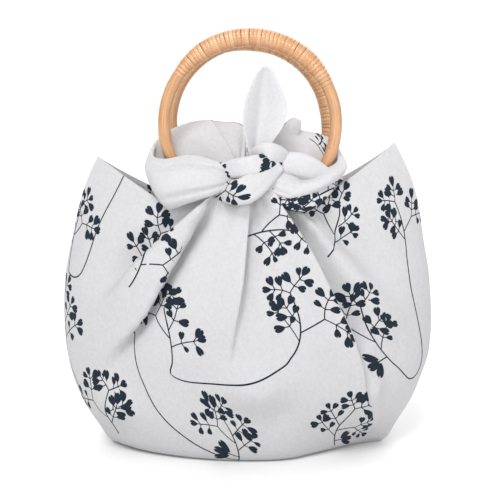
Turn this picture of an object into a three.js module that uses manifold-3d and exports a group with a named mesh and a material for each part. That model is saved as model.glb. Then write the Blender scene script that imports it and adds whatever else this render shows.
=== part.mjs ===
// A knot bag: one square cloth, its corners threaded through two cane rings and tied in pairs.
// Millimetres, +Z up, the front faces -Y. The origin is the middle of the base, on the surface it stands on.
import * as THREE from "three";
import { mergeVertices } from "three/addons/utils/BufferGeometryUtils.js";
import Module from "manifold-3d";

const wasm = await Module();
wasm.setup();

// Driving dimensions
const CLOTH_THICKNESS = 2.2;
const STRAND_THICKNESS = 3.2;
const EDGE_HEIGHT = 197;
const NECK_RISE = 17;
const NECK_HALF_WIDTH = 18;
const NECK_FOOT = 60;
const NECK_SHARE = 0.15;
const LOW_EAR = { height: 230, startsAt: 0.4, curve: 1.15 };
const HIGH_EAR = { height: 238, startsAt: 0.3, curve: 1 };
const FRONT_EARS = { left: LOW_EAR, right: HIGH_EAR };
const BACK_EARS = { left: HIGH_EAR, right: LOW_EAR };
const EAR_HALF_SPAN = 124;
const GATHERED_SHARE = 0.7;
const GATHER_STARTS_AT = 0.15;
const GATHER_CURVE = 0.85;
const RING_OUTER_DIAMETER = 140;
const CANE_DIAMETER = 9.4;
const RING_CENTRE_HEIGHT = 261;
const RING_OFFSET = 42;
const BINDING_DIAMETER = 14;
const BINDING_GAP = 0.5;

// Mesh fineness
const AROUND = 76;
const FRONT_CROWDING = 0.18;
const WALL_ROWS = 17;
const ROW_CROWDING = 1.05;
const BASE_ROWS = 2;
const STRAND_STEPS = 16;
const STRAND_ACROSS = 4;
const WRAP_STEPS = 8;
const WRAP_SIDES = 8;
const RING_STEPS = 44;
const RING_SIDES = 8;
const BINDING_STEPS = 18;

// Level sections of the bag, from the base up: half width, half depth and how pointed the sides are
const SECTIONS = [
  { z: 0, width: 112, depth: 46, point: 1.9 },
  { z: 4, width: 118, depth: 52, point: 1.6 },
  { z: 14, width: 125, depth: 58, point: 1.3 },
  { z: 36, width: 139, depth: 67, point: 1.05 },
  { z: 60, width: 147, depth: 73, point: 1.05 },
  { z: 100, width: 151, depth: 76, point: 1.15 },
  { z: 142, width: 149, depth: 72, point: 1.3 },
  { z: 172, width: 143, depth: 67, point: 1.5 },
  { z: 200, width: 136, depth: 62, point: 1.75 },
  { z: 220, width: 129, depth: 58, point: 2.0 },
  { z: 242, width: 118, depth: 48, point: 2.2 },
];

// Folds that run down from each knot, seen from the front: from (x, z) to (endX, endZ), bowed sideways, with a
// height and a reach on the left and the right of the line and the share of its length from which it dies away
const FRONT_FOLDS = [
  { x: -19, z: 205, endX: -88, endZ: 84, bow: 0, left: 13, right: -11, reachL: 24, reachR: 15, fades: 0.75 },
  { x: -1, z: 202, endX: -15, endZ: 80, bow: 0, left: 8, right: -6, reachL: 19, reachR: 16, fades: 0.55 },
  { x: 22, z: 198, endX: 98, endZ: 34, bow: 6, left: 9, right: -8, reachL: 24, reachR: 18, fades: 0.5 },
  { x: 33, z: 200, endX: 76, endZ: 146, bow: 3, left: 5, right: -3, reachL: 9, reachR: 9, fades: 0.6 },
  { x: -46, z: 190, endX: -112, endZ: 118, bow: -8, left: -7, right: -7, reachL: 13, reachR: 13, fades: 0.45 },
  { x: 52, z: 188, endX: 120, endZ: 84, bow: 4, left: -5, right: -5, reachL: 15, reachR: 16, fades: 0.45 },
];
const BACK_FOLDS = [
  { x: -16, z: 204, endX: -84, endZ: 74, bow: 3, left: 10, right: -7, reachL: 20, reachR: 15, fades: 0.6 },
  { x: 3, z: 200, endX: 12, endZ: 88, bow: 0, left: -5, right: 7, reachL: 17, reachR: 15, fades: 0.55 },
  { x: 20, z: 198, endX: 92, endZ: 46, bow: 5, left: 8, right: -7, reachL: 22, reachR: 16, fades: 0.5 },
  { x: -48, z: 188, endX: -112, endZ: 104, bow: -6, left: -6, right: -6, reachL: 15, reachR: 14, fades: 0.45 },
  { x: 52, z: 188, endX: 114, endZ: 98, bow: 5, left: -5, right: -5, reachL: 14, reachR: 16, fades: 0.45 },
];
const FOLD_STEP = 4.5;

// The strands of cloth that pass from the neck, over the ring's lowest arc, out behind the ring, round its
// side and forward to the knot. Each row has the strand's lower edge, its upper edge and its outward bulge.
const LEFT_STRAND = [
  { low: [-4, -59, 206], high: [-4, -57, 226], bulge: 0 },
  { low: [-12, -44, 208], high: [-3, -32, 250], bulge: 2 },
  { low: [-30, -29, 206], high: [-24, -20, 259], bulge: 3 },
  { low: [-52, -27, 203], high: [-44, -17, 260], bulge: 4 },
  { low: [-68, -31, 200], high: [-69, -26, 248], bulge: 5 },
  { low: [-66, -46, 198], high: [-82, -44, 236], bulge: 3 },
  { low: [-62, -60, 195], high: [-70, -58, 233], bulge: 7 },
  { low: [-46, -68, 200], high: [-46, -62, 236], bulge: 8 },
  { low: [-28, -71, 206], high: [-28, -66, 234], bulge: 6 },
  { low: [-10, -68, 213], high: [-10, -64, 227], bulge: 2 },
];
const RIGHT_STRAND = [
  { low: [4, -59, 206], high: [4, -57, 226], bulge: 0 },
  { low: [12, -44, 208], high: [8, -32, 250], bulge: 2 },
  { low: [30, -29, 206], high: [27, -20, 255], bulge: 3 },
  { low: [52, -27, 206], high: [46, -17, 252], bulge: 4 },
  { low: [66, -31, 210], high: [63, -26, 246], bulge: 5 },
  { low: [66, -46, 215], high: [74, -44, 232], bulge: 3 },
  { low: [58, -60, 212], high: [62, -58, 226], bulge: 5 },
  { low: [42, -68, 205], high: [40, -62, 218], bulge: 6 },
  { low: [27, -71, 204], high: [28, -65, 221], bulge: 5 },
  { low: [10, -68, 211], high: [11, -64, 227], bulge: 2 },
];
const STRAND_AXIS_X = 50;

// Rounded rolls of cloth: the three wraps of the knot from lower left to upper right, and two folds of the
// strand on the right, one inside its loop and one under it
const WRAPS = [
  { from: [-24, -59, 209], over: [-3, -77, 211], to: [21, -62, 229], radius: 9.8, flat: 0.7 },
  { from: [-24, -61, 225], over: [0, -74, 228], to: [23, -60, 233], radius: 8, flat: 0.7 },
  { from: [-1, -55, 233], over: [15, -69, 239], to: [30, -55, 230], radius: 6.8, flat: 0.7 },
  { from: [13, -57, 229], over: [38, -57, 228], to: [63, -51, 215], radius: 9.5, flat: 0.6 },
  { from: [10, -62, 206], over: [41, -66, 201], to: [68, -45, 219], radius: 6.5, flat: 0.8 },
];

// The tied corners of the cloth: the left and the right edge of each and its hollow
const UP_TAIL = [
  { left: [-1, -63, 230], right: [11, -63, 230], hollow: 1 },
  { left: [-4, -62, 246], right: [18, -61, 246], hollow: 5 },
  { left: [-5.5, -60, 259], right: [25, -58, 258], hollow: 7 },
  { left: [-4.5, -57, 273], right: [28, -55, 272], hollow: 6 },
  { left: [1, -54, 287], right: [24.5, -53, 286], hollow: 4 },
  { left: [7, -52.5, 296], right: [18.5, -52, 296], hollow: 1 },
  { left: [10.5, -52, 301], right: [14, -52, 301], hollow: 0 },
];
const BACK_TAIL = [
  { left: [20, -22, 238], right: [28, -21, 234], hollow: 0 },
  { left: [22.5, -18, 252], right: [34, -17, 247], hollow: 1 },
  { left: [28, -16, 261], right: [39, -15, 256], hollow: 1 },
  { left: [33, -15, 266], right: [39, -15, 263], hollow: 0 },
];

// Smooth value of one column of a table whose rows are keyed by z
function columnAt(rows, column, z) {
  const last = rows.length - 1;
  let i = 0;
  while (i < last - 1 && z > rows[i + 1].z) i += 1;
  const row = rows[i];
  const next = rows[i + 1];
  const before = rows[Math.max(i - 1, 0)];
  const after = rows[Math.min(i + 2, last)];
  const span = next.z - row.z;
  const share = THREE.MathUtils.clamp((z - row.z) / span, 0, 1);
  const slope = (a, b) => (b[column] - a[column]) / (b.z - a.z);
  const startSlope = i === 0 ? slope(row, next) : slope(before, next);
  const endSlope = i + 1 === last ? slope(row, next) : slope(row, after);
  const s2 = share * share;
  const s3 = s2 * share;
  return (
    row[column] * (2 * s3 - 3 * s2 + 1) +
    startSlope * span * (s3 - 2 * s2 + share) +
    next[column] * (3 * s2 - 2 * s3) +
    endSlope * span * (s3 - s2)
  );
}

// Height of the cloth's edge over a place across the bag: a neck at the knot and pointed ears at the sides
function edgeHeight(x, ears) {
  const ear = x < 0 ? ears.left : ears.right;
  const rise = Math.max(0, (Math.abs(x) / EAR_HALF_SPAN - ear.startsAt) / (1 - ear.startsAt));
  const neck = NECK_RISE * (1 - THREE.MathUtils.smoothstep(Math.abs(x), NECK_HALF_WIDTH, NECK_FOOT));
  return EDGE_HEIGHT + neck + (ear.height - EDGE_HEIGHT) * rise ** ear.curve;
}

// Where a column of the cloth meets the edge, from -1 to 1: the middle columns are gathered into the neck
function edgeSide(side) {
  const reach = Math.abs(side);
  const inNeck = Math.min(1, reach / GATHERED_SHARE);
  const toEar = Math.max(0, (reach - GATHERED_SHARE) / (1 - GATHERED_SHARE));
  return Math.sign(side) * (NECK_SHARE * inNeck + (1 - NECK_SHARE) * toEar);
}

// Place of the unfolded bag in one column, from -1 at the left ear to 1 at the right, at a share of its height
function wallPlace(side, share, ears) {
  const atEdge = edgeSide(side);
  const z = edgeHeight(atEdge * EAR_HALF_SPAN, ears) * share;
  const width = columnAt(SECTIONS, "width", z);
  const gathered = Math.max(0, (share - GATHER_STARTS_AT) / (1 - GATHER_STARTS_AT)) ** GATHER_CURVE;
  return { x: width * THREE.MathUtils.lerp(side, atEdge, gathered), z, width };
}

// Outward direction of the unfolded bag at a place, smooth over the pointed sides
function outward({ x, z, width }) {
  const depth = columnAt(SECTIONS, "depth", z);
  const slope = (columnAt(SECTIONS, "depth", z + 2) - columnAt(SECTIONS, "depth", z - 2)) / 4;
  const side = x / width;
  const direction = new THREE.Vector3(depth * side, -width * Math.sqrt(1 - side * side), 0).normalize();
  direction.z = -slope;
  return direction.normalize();
}

// How far one fold lifts the cloth at (x, z) seen from its own side
function foldLift(fold, x, z) {
  const dx = fold.endX - fold.x;
  const dz = fold.endZ - fold.z;
  const length = Math.hypot(dx, dz);
  const along = ((x - fold.x) * dx + (z - fold.z) * dz) / (length * length);
  const inside = THREE.MathUtils.clamp(along, 0, 1);
  const bow = fold.bow * 4 * inside * (1 - inside);
  const across = ((z - fold.z) * dx - (x - fold.x) * dz) / length - bow;
  const spread = 0.45 + 0.75 * inside;
  const fade = 1 - THREE.MathUtils.smoothstep(along, fold.fades, 1.1);
  const side = 0.5 * (1 + Math.tanh(across / FOLD_STEP));
  const left = fold.left * Math.exp(-((across / (fold.reachL * spread)) ** 2));
  const right = fold.right * Math.exp(-((across / (fold.reachR * spread)) ** 2));
  return fade * (left * (1 - side) + right * side);
}

// A column of the cloth's wall, its folds included, as seen from the side it hangs on
function wallPoint(folds, ears, side, share) {
  const place = wallPlace(side, share, ears);
  const level = 1 - (place.x / place.width) ** 2;
  const depth = columnAt(SECTIONS, "depth", place.z);
  const y = -depth * level ** (columnAt(SECTIONS, "point", place.z) / 2);
  let lift = 0;
  for (const fold of folds) lift += foldLift(fold, place.x, place.z);
  const out = outward(place);
  const outer = new THREE.Vector3(place.x, y, place.z).addScaledVector(out, lift * level ** 0.25);
  const inner = outer.clone().addScaledVector(out, -CLOTH_THICKNESS);
  inner.z = Math.max(inner.z, CLOTH_THICKNESS);
  return { outer, inner };
}

// One closed surface through loops of equal length: sides between the loops, strips across the two ends
function loftGeometry(loops) {
  const count = loops[0].length;
  const positions = [];
  const faces = [];
  for (const loop of loops) for (const p of loop) positions.push(p.x, p.y, p.z);
  const quad = (a, b, c, d) => faces.push(a, b, c, a, c, d);
  for (let i = 0; i + 1 < loops.length; i += 1) {
    for (let j = 0; j < count; j += 1) {
      const k = (j + 1) % count;
      quad(i * count + j, i * count + k, (i + 1) * count + k, (i + 1) * count + j);
    }
  }
  const end = (loops.length - 1) * count;
  for (let j = 0; j < count / 2 - 1; j += 1) {
    const across = count - 1 - j;
    quad(across, across - 1, j + 1, j);
    quad(end + j, end + j + 1, end + across - 1, end + across);
  }
  const geometry = new THREE.BufferGeometry();
  geometry.setAttribute("position", new THREE.Float32BufferAttribute(positions, 3));
  geometry.setIndex(faces);
  return geometry;
}

// A solid of one closed geometry, turned right side out
function solidOf(geometry) {
  const bare = new THREE.BufferGeometry();
  bare.setAttribute("position", geometry.getAttribute("position"));
  bare.setIndex(geometry.index);
  const merged = mergeVertices(bare, 1e-4);
  const triVerts = new Uint32Array(merged.index.array);
  const mesh = () =>
    new wasm.Mesh({ numProp: 3, vertProperties: new Float32Array(merged.attributes.position.array), triVerts });
  const solid = new wasm.Manifold(mesh());
  if (solid.volume() > 0) return solid;
  for (let i = 0; i < triVerts.length; i += 3) {
    [triVerts[i + 1], triVerts[i + 2]] = [triVerts[i + 2], triVerts[i + 1]];
  }
  return new wasm.Manifold(mesh());
}

function geometryOf(solid) {
  const mesh = solid.getMesh();
  const geometry = new THREE.BufferGeometry();
  geometry.setAttribute("position", new THREE.BufferAttribute(new Float32Array(mesh.vertProperties), 3));
  geometry.setIndex(new THREE.BufferAttribute(new Uint32Array(mesh.triVerts), 1));
  geometry.computeVertexNormals();
  return geometry;
}

// The bag below the knots: an open-topped sheet, base and wall in one
function bagGeometry() {
  const columns = Array.from({ length: AROUND }, (_, j) => {
    const turn = (2 * Math.PI * j) / AROUND;
    const angle = turn - FRONT_CROWDING * Math.sin(2 * turn);
    return { front: Math.cos(angle) > -1e-9, side: Math.sin(angle) };
  });
  const half = new THREE.Matrix4().makeRotationZ(Math.PI);
  const wallAt = ({ front, side }, share) => {
    if (front) return wallPoint(FRONT_FOLDS, FRONT_EARS, side, share);
    const { outer, inner } = wallPoint(BACK_FOLDS, BACK_EARS, -side, share);
    return { outer: outer.applyMatrix4(half), inner: inner.applyMatrix4(half) };
  };
  const rows = [];
  for (let i = 0; i <= WALL_ROWS; i += 1) {
    rows.push(columns.map((column) => wallAt(column, (i / WALL_ROWS) ** ROW_CROWDING)));
  }
  for (let i = BASE_ROWS; i >= 1; i -= 1) {
    const share = i / (BASE_ROWS + 1);
    rows.unshift(
      rows[0].map(({ outer }) => {
        const point = outer.clone().multiplyScalar(share / ((i + 1) / (BASE_ROWS + 1)));
        return { outer: point, inner: point.clone().setZ(CLOTH_THICKNESS) };
      }),
    );
  }
  const positions = [0, 0, 0, 0, 0, CLOTH_THICKNESS];
  const faces = [];
  for (const row of rows) for (const { outer } of row) positions.push(outer.x, outer.y, outer.z);
  for (const row of rows) for (const { inner } of row) positions.push(inner.x, inner.y, inner.z);
  const at = (row, j) => 2 + row * AROUND + (j % AROUND);
  const rim = rows.length - 1;
  const lining = rows.length;
  const quad = (a, b, c, d) => faces.push(a, b, c, a, c, d);
  for (let j = 0; j < AROUND; j += 1) {
    faces.push(0, at(0, j + 1), at(0, j), 1, at(lining, j), at(lining, j + 1));
    for (let i = 0; i < rim; i += 1) {
      quad(at(i, j), at(i, j + 1), at(i + 1, j + 1), at(i + 1, j));
      const k = lining + i;
      quad(at(k, j), at(k + 1, j), at(k + 1, j + 1), at(k, j + 1));
    }
    quad(at(rim, j), at(rim, j + 1), at(lining + rim, j + 1), at(lining + rim, j));
  }
  const geometry = new THREE.BufferGeometry();
  geometry.setAttribute("position", new THREE.Float32BufferAttribute(positions, 3));
  geometry.setIndex(faces);
  return geometry;
}

// A strand: a band lofted between its two edges, bulged away from the ring's side
function strandGeometry(rows, axisX) {
  const lows = new THREE.CatmullRomCurve3(rows.map((row) => new THREE.Vector3(...row.low)));
  const highs = new THREE.CatmullRomCurve3(rows.map((row) => new THREE.Vector3(...row.high)));
  const bulges = new THREE.SplineCurve(rows.map((row, i) => new THREE.Vector2(i, row.bulge)));
  const loops = [];
  for (let i = 0; i <= STRAND_STEPS; i += 1) {
    const share = i / STRAND_STEPS;
    const low = lows.getPoint(share);
    const high = highs.getPoint(share);
    const bulge = bulges.getPoint(share).y;
    const middle = low.clone().lerp(high, 0.5);
    const out = new THREE.Vector3(middle.x - axisX, middle.y + RING_OFFSET, 0).normalize();
    const face = [];
    for (let j = 0; j <= STRAND_ACROSS; j += 1) {
      const across = j / STRAND_ACROSS;
      face.push(low.clone().lerp(high, across).addScaledVector(out, bulge * 4 * across * (1 - across)));
    }
    const lining = face.map((p) => p.clone().addScaledVector(out, -STRAND_THICKNESS));
    loops.push([...face, ...lining.reverse()]);
  }
  return loftGeometry(loops);
}

// A wrap: a rounded roll with tapering ends along a curve
function wrapGeometry({ from, over, to, radius, flat }) {
  const curve = new THREE.CatmullRomCurve3([from, over, to].map((p) => new THREE.Vector3(...p)));
  const loops = [];
  for (let i = 0; i <= WRAP_STEPS; i += 1) {
    const share = i / WRAP_STEPS;
    const centre = curve.getPoint(share);
    const along = curve.getTangent(share);
    const across = new THREE.Vector3(0, -1, 0).cross(along).normalize();
    const lift = along.clone().cross(across);
    const size = radius * (0.72 + 0.28 * Math.sin(Math.PI * share));
    const loop = [];
    for (let j = 0; j < WRAP_SIDES; j += 1) {
      const turn = (2 * Math.PI * j) / WRAP_SIDES;
      const point = centre.clone().addScaledVector(across, size * Math.cos(turn));
      loop.push(point.addScaledVector(lift, size * flat * Math.sin(turn)));
    }
    loops.push(loop);
  }
  return loftGeometry(loops);
}

// A tied corner: a leaf-shaped band between its two edges, hollow to the front
function tailGeometry(rows) {
  const lefts = new THREE.CatmullRomCurve3(rows.map((row) => new THREE.Vector3(...row.left)));
  const rights = new THREE.CatmullRomCurve3(rows.map((row) => new THREE.Vector3(...row.right)));
  const hollows = new THREE.SplineCurve(rows.map((row, i) => new THREE.Vector2(i, row.hollow)));
  const loops = [];
  for (let i = 0; i <= WRAP_STEPS; i += 1) {
    const share = i / WRAP_STEPS;
    const left = lefts.getPoint(share);
    const right = rights.getPoint(share);
    const hollow = hollows.getPoint(share).y;
    const face = [];
    for (let j = 0; j <= STRAND_ACROSS; j += 1) {
      const across = j / STRAND_ACROSS;
      const point = left.clone().lerp(right, across);
      point.y += hollow * 4 * across * (1 - across) - STRAND_THICKNESS / 2;
      face.push(point);
    }
    const lining = face.map((p) => p.clone().setY(p.y + STRAND_THICKNESS));
    loops.push([...face, ...lining.reverse()]);
  }
  return loftGeometry(loops);
}

// Both strands, the rolls of the knot and the tied corners at the front, fused
function tieSolid() {
  const pieces = [
    strandGeometry(LEFT_STRAND, -STRAND_AXIS_X),
    strandGeometry(RIGHT_STRAND, STRAND_AXIS_X),
    ...WRAPS.map(wrapGeometry),
    tailGeometry(UP_TAIL),
    tailGeometry(BACK_TAIL),
  ];
  return pieces.map(solidOf).reduce((joined, piece) => joined.add(piece));
}

// The whole cloth as one solid, small spaces that its rolls shut in filled.
// The tie at the back is the mirror image of the one in front.
function clothGeometry() {
  const tie = tieSolid();
  const joined = solidOf(bagGeometry()).add(tie).add(tie.mirror([0, 1, 0]));
  const bodies = joined.decompose();
  return geometryOf(bodies.reduce((most, body) => (body.volume() > most.volume() ? body : most)));
}

// A bent cane ring, standing upright across the bag
function ringGeometry() {
  const tube = CANE_DIAMETER / 2;
  const ring = new THREE.TorusGeometry(RING_OUTER_DIAMETER / 2 - tube, tube, RING_SIDES, RING_STEPS);
  return geometryOf(solidOf(ring));
}

// The peel bound round a stretch of the ring: a sleeve that thins out at both ends
function bindingGeometry(fromDegrees, toDegrees) {
  const centreline = RING_OUTER_DIAMETER / 2 - CANE_DIAMETER / 2;
  const bore = CANE_DIAMETER / 2 + BINDING_GAP;
  const loops = [];
  const sleeve = (degrees, radius) => {
    const angle = THREE.MathUtils.degToRad(degrees);
    const loop = [];
    for (let j = 0; j < RING_SIDES; j += 1) {
      const turn = (2 * Math.PI * j) / RING_SIDES;
      const reach = centreline + radius * Math.cos(turn);
      loop.push(new THREE.Vector3(reach * Math.sin(angle), reach * Math.cos(angle), radius * Math.sin(turn)));
    }
    return loop;
  };
  for (let i = 0; i <= BINDING_STEPS; i += 1) {
    const share = i / BINDING_STEPS;
    const full = Math.min(1, 5 * share, 5 * (1 - share));
    const degrees = THREE.MathUtils.lerp(fromDegrees, toDegrees, share);
    loops.push(sleeve(degrees, THREE.MathUtils.lerp(bore + 0.8, BINDING_DIAMETER / 2, full)));
  }
  const outside = solidOf(loftGeometry(loops));
  const hole = [];
  for (let i = -1; i <= BINDING_STEPS + 1; i += 1) {
    hole.push(sleeve(THREE.MathUtils.lerp(fromDegrees, toDegrees, i / BINDING_STEPS), bore));
  }
  return geometryOf(outside.subtract(solidOf(loftGeometry(hole))));
}

// Materials
const clothMaterial = new THREE.MeshStandardMaterial({ color: 0xe9e7e4, roughness: 0.9, metalness: 0 });
const caneMaterial = new THREE.MeshStandardMaterial({ color: 0xd9a468, roughness: 0.45, metalness: 0 });
const peelMaterial = new THREE.MeshStandardMaterial({ color: 0xcf9a5c, roughness: 0.4, metalness: 0 });

function named(name, geometry, material) {
  const mesh = new THREE.Mesh(geometry, material);
  mesh.name = name;
  return mesh;
}

// A ring and its binding, standing in the strands of one side
function ringGroup(side, offset, fromDegrees, toDegrees) {
  const group = new THREE.Group();
  group.add(named(`ring_${side}`, ringGeometry(), caneMaterial));
  group.add(named(`binding_${side}`, bindingGeometry(fromDegrees, toDegrees), peelMaterial));
  group.rotation.x = Math.PI / 2;
  group.position.set(0, offset, RING_CENTRE_HEIGHT);
  return group;
}

const bag = new THREE.Group();
bag.add(named("cloth", clothGeometry(), clothMaterial));
bag.add(ringGroup("front", -RING_OFFSET, -56, 66));
bag.add(ringGroup("back", RING_OFFSET, -20, 105));

export default bag;
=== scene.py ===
"""A knot bag: one square of printed cotton, its corners threaded through two cane rings and tied in pairs.

Metres, +Z up, the front towards -Y. Tables and shapes are in millimetres and become metres in the meshes.
"""
import math
import random
from collections import namedtuple

import bpy
import numpy as np
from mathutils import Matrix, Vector


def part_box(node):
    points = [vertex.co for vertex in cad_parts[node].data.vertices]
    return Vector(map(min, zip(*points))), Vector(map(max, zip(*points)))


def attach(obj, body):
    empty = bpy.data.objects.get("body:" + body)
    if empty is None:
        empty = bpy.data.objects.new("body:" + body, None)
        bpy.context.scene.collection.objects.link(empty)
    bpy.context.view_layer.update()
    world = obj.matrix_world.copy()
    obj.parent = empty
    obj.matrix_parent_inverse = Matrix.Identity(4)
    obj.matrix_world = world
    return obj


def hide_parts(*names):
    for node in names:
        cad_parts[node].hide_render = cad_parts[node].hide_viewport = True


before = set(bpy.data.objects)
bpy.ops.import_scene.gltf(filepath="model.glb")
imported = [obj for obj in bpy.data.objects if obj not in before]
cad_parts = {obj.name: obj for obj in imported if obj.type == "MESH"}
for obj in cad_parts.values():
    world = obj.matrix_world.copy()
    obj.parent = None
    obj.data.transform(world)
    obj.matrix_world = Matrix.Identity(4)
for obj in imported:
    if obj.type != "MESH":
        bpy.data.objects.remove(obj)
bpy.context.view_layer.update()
bpy.ops.object.select_all(action="DESELECT")


# The cane rings: smooth rattan about 9 mm thick, steamed and bent into a circle.
# Each stands upright in the loops of cloth on its own face of the bag.
MM = 0.001
CANE_STEPS = 200
CANE_SIDES = 28
CANE_DARK = (0.43, 0.207, 0.084, 1)
CANE_PALE = (0.6, 0.337, 0.178, 1)
CANE_PORE = (0.3, 0.13, 0.04, 1)
GRAIN_DRAWN_OUT = (0.9, 0.9, 0.035)
Knuckle = namedtuple("Knuckle", "degrees swell length")
CANE_KNUCKLES = [Knuckle(-97, 0.35, 4), Knuckle(118, 0.3, 4), Knuckle(-150, 0.3, 5)]


def ring_measures(node):
    """Centre of a ring, the radius of its own thickness and the radius that it is bent to, in metres."""
    low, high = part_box(node)
    thickness = (high.y - low.y) / 2
    return (low + high) / 2, thickness, (high.x - low.x) / 2 - thickness


def points_of(piece):
    """The vertices of a mesh as an array."""
    places = np.zeros(len(piece.data.vertices) * 3)
    piece.data.vertices.foreach_get("co", places)
    return places.reshape(-1, 3)


def set_points(piece, places):
    """Moves the vertices of a mesh."""
    piece.data.vertices.foreach_set("co", np.asarray(places, float).ravel())
    piece.data.update()


def store(piece, name, kind, values, domain="POINT", key="vector"):
    """Keeps values on a mesh for its material to read."""
    layer = piece.data.attributes.new(name, kind, domain)
    layer.data.foreach_set(key, np.asarray(values, np.float32).ravel())


def cane_ring(name, node):
    centre, thickness, bend = ring_measures(node)
    bpy.ops.mesh.primitive_torus_add(
        major_segments=CANE_STEPS,
        minor_segments=CANE_SIDES,
        major_radius=bend,
        minor_radius=thickness,
        location=centre,
        rotation=(math.pi / 2, 0, 0),
    )
    ring = bpy.context.object
    ring.name = name
    bpy.ops.object.transform_apply(location=True, rotation=True, scale=True)
    bpy.ops.object.shade_smooth()
    places = points_of(ring) - np.array(centre)
    turn = np.arctan2(places[:, 0], places[:, 2])
    core = bend * np.stack([np.sin(turn), 0 * turn, np.cos(turn)], axis=1)
    swell = np.ones(len(places))
    for knuckle in CANE_KNUCKLES:
        apart = (turn - math.radians(knuckle.degrees)) * bend / (knuckle.length * MM)
        swell += knuckle.swell * MM / thickness * np.exp(-apart ** 2)
    round_it = places - core
    set_points(ring, np.array(centre) + core + round_it * swell[:, None])
    outward = np.sum(round_it * core, axis=1) / bend
    store(ring, "grain", "FLOAT_VECTOR", np.stack([outward, round_it[:, 1], turn * bend], axis=1) / MM)
    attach(ring, "root")
    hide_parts(node)
    return ring


class Finish:
    """A new material, with short makers for the nodes that give its look."""

    def __init__(self, name):
        self.material = bpy.data.materials.new(name)
        self.material.use_nodes = True
        self.tree = self.material.node_tree
        self.surface = self.tree.nodes["Principled BSDF"]

    def feed(self, node, sockets):
        """Sets sockets of a node to values, or links them to other nodes' outputs."""
        for key, value in sockets.items():
            if isinstance(value, bpy.types.NodeSocket):
                self.tree.links.new(value, node.inputs[key])
            else:
                node.inputs[key].default_value = value

    def node(self, kind, sockets, **settings):
        made = self.tree.nodes.new(kind)
        for key, value in settings.items():
            setattr(made, key, value)
        self.feed(made, sockets)
        return made

    def stored(self, name):
        """A vector that the mesh keeps."""
        return self.node("ShaderNodeAttribute", {}, attribute_name=name).outputs["Vector"]

    def place(self):
        return self.node("ShaderNodeTexCoord", {}).outputs["Object"]

    def parts(self, vector):
        """The X, Y and Z of a vector."""
        return self.node("ShaderNodeSeparateXYZ", {0: vector}).outputs

    def calc(self, operation, *values):
        return self.node("ShaderNodeMath", dict(enumerate(values)), operation=operation).outputs[0]

    def noise(self, vector, scale, detail, distortion=0):
        sockets = {"Vector": vector, "Scale": scale, "Detail": detail, "Distortion": distortion}
        return self.node("ShaderNodeTexNoise", sockets).outputs["Fac"]

    def rise(self, value, low, high):
        """From 0 at a low value to 1 at a high one."""
        sockets = {"Value": value, "From Min": low, "From Max": high}
        return self.node("ShaderNodeMapRange", sockets).outputs["Result"]

    def tone(self, value, dark_at, dark, pale_at, pale):
        """A colour between a dark and a pale one."""
        made = self.node("ShaderNodeValToRGB", {"Fac": value})
        for i, (position, colour) in enumerate(((dark_at, dark), (pale_at, pale))):
            made.color_ramp.elements[i].position = position
            made.color_ramp.elements[i].color = colour
        return made.outputs["Color"]

    def mix(self, share, under, over):
        """A share of one colour over another."""
        return self.node("ShaderNodeMix", {0: share, 6: under, 7: over}, data_type="RGBA").outputs[2]

    def bump(self, height, strength, distance):
        """A surface raised by up to a distance in metres."""
        return self.node("ShaderNodeBump", {"Height": height, "Strength": strength, "Distance": distance})


def cane_material():
    """Honey-coloured rattan: fine streaks along the cane, small dark pores and a satin varnish."""
    look = Finish("honey_cane")
    grain = look.stored("grain")
    drawn_out = look.node("ShaderNodeMapping", {"Vector": grain, "Scale": GRAIN_DRAWN_OUT})
    streaks = look.noise(drawn_out.outputs["Vector"], scale=1.6, detail=6)
    tone = look.tone(streaks, dark_at=0.3, dark=CANE_DARK, pale_at=0.7, pale=CANE_PALE)
    pores = look.rise(look.noise(grain, scale=0.32, detail=3), low=0.69, high=0.76)
    look.feed(look.surface, {
        "Base Color": look.mix(pores, tone, CANE_PORE),
        "Normal": look.bump(streaks, strength=0.25, distance=0.0004).outputs["Normal"],
        "Roughness": 0.36,
        "Coat Weight": 0.3,
        "Coat Roughness": 0.18,
    })
    return look.material


HONEY_CANE = cane_material()
for cane in (cane_ring("cane_front", "ring_front"), cane_ring("cane_back", "ring_back")):
    cane.data.materials.append(HONEY_CANE)


# The bound grip: a narrow strip of cane peel wound tightly round each ring, one turn against the next.
# The ends are tucked under the last turns, and the turns vary a little in width, tilt and colour.
TURN_PITCH = 3.0 * MM
TURN_THICKNESS = 0.55 * MM
TAPERED_TURNS = 8
TURN_SLACK = 0.012
TURN_TILT = 0.05
TILT_SPREAD = 0.04
TURN_WIDTHS = (1.08, 1.16)
TURN_SHADES = (0.1, 0.6)
PEEL_STREAKS = 0.35
PEEL_SIDES = 30
PEEL_EDGE_SIDES = 10
PEEL_DARK = (0.47, 0.23, 0.096, 1)
PEEL_PALE = (0.66, 0.375, 0.2, 1)
# The colour of the painted shade in the grooves between the turns
PEEL_GROOVE_SHADE = (0.33, 0.15, 0.058, 1)
Grip = namedtuple("Grip", "name node ring start end seed")
GRIPS = [
    Grip("peel_front", "binding_front", "ring_front", -56, 66, 3),
    Grip("peel_back", "binding_back", "ring_back", -20, 105, 8),
]


def peel_material():
    """Cane peel: each turn its own shade of honey, streaked round the grip, with painted shade darkening the
    grooves between turns.
    """
    look = Finish("wound_peel")
    turn = look.parts(look.stored("turn"))
    streaks = look.noise(look.place(), scale=900, detail=4)
    shade = look.calc("ADD", turn["X"], look.calc("MULTIPLY", streaks, PEEL_STREAKS))
    tone = look.tone(shade, dark_at=0.12, dark=PEEL_DARK, pale_at=0.95, pale=PEEL_PALE)
    # Painted shade along the edges of each turn, where the grooves between turns lie
    groove_shade = look.rise(turn["Y"], low=0.78, high=1.0)
    look.feed(look.surface, {
        "Base Color": look.mix(groove_shade, tone, PEEL_GROOVE_SHADE),
        "Normal": look.bump(streaks, strength=0.3, distance=0.0003).outputs["Normal"],
        "Roughness": 0.33,
        "Coat Weight": 0.4,
        "Coat Roughness": 0.16,
    })
    return look.material


WOUND_PEEL = peel_material()


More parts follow.
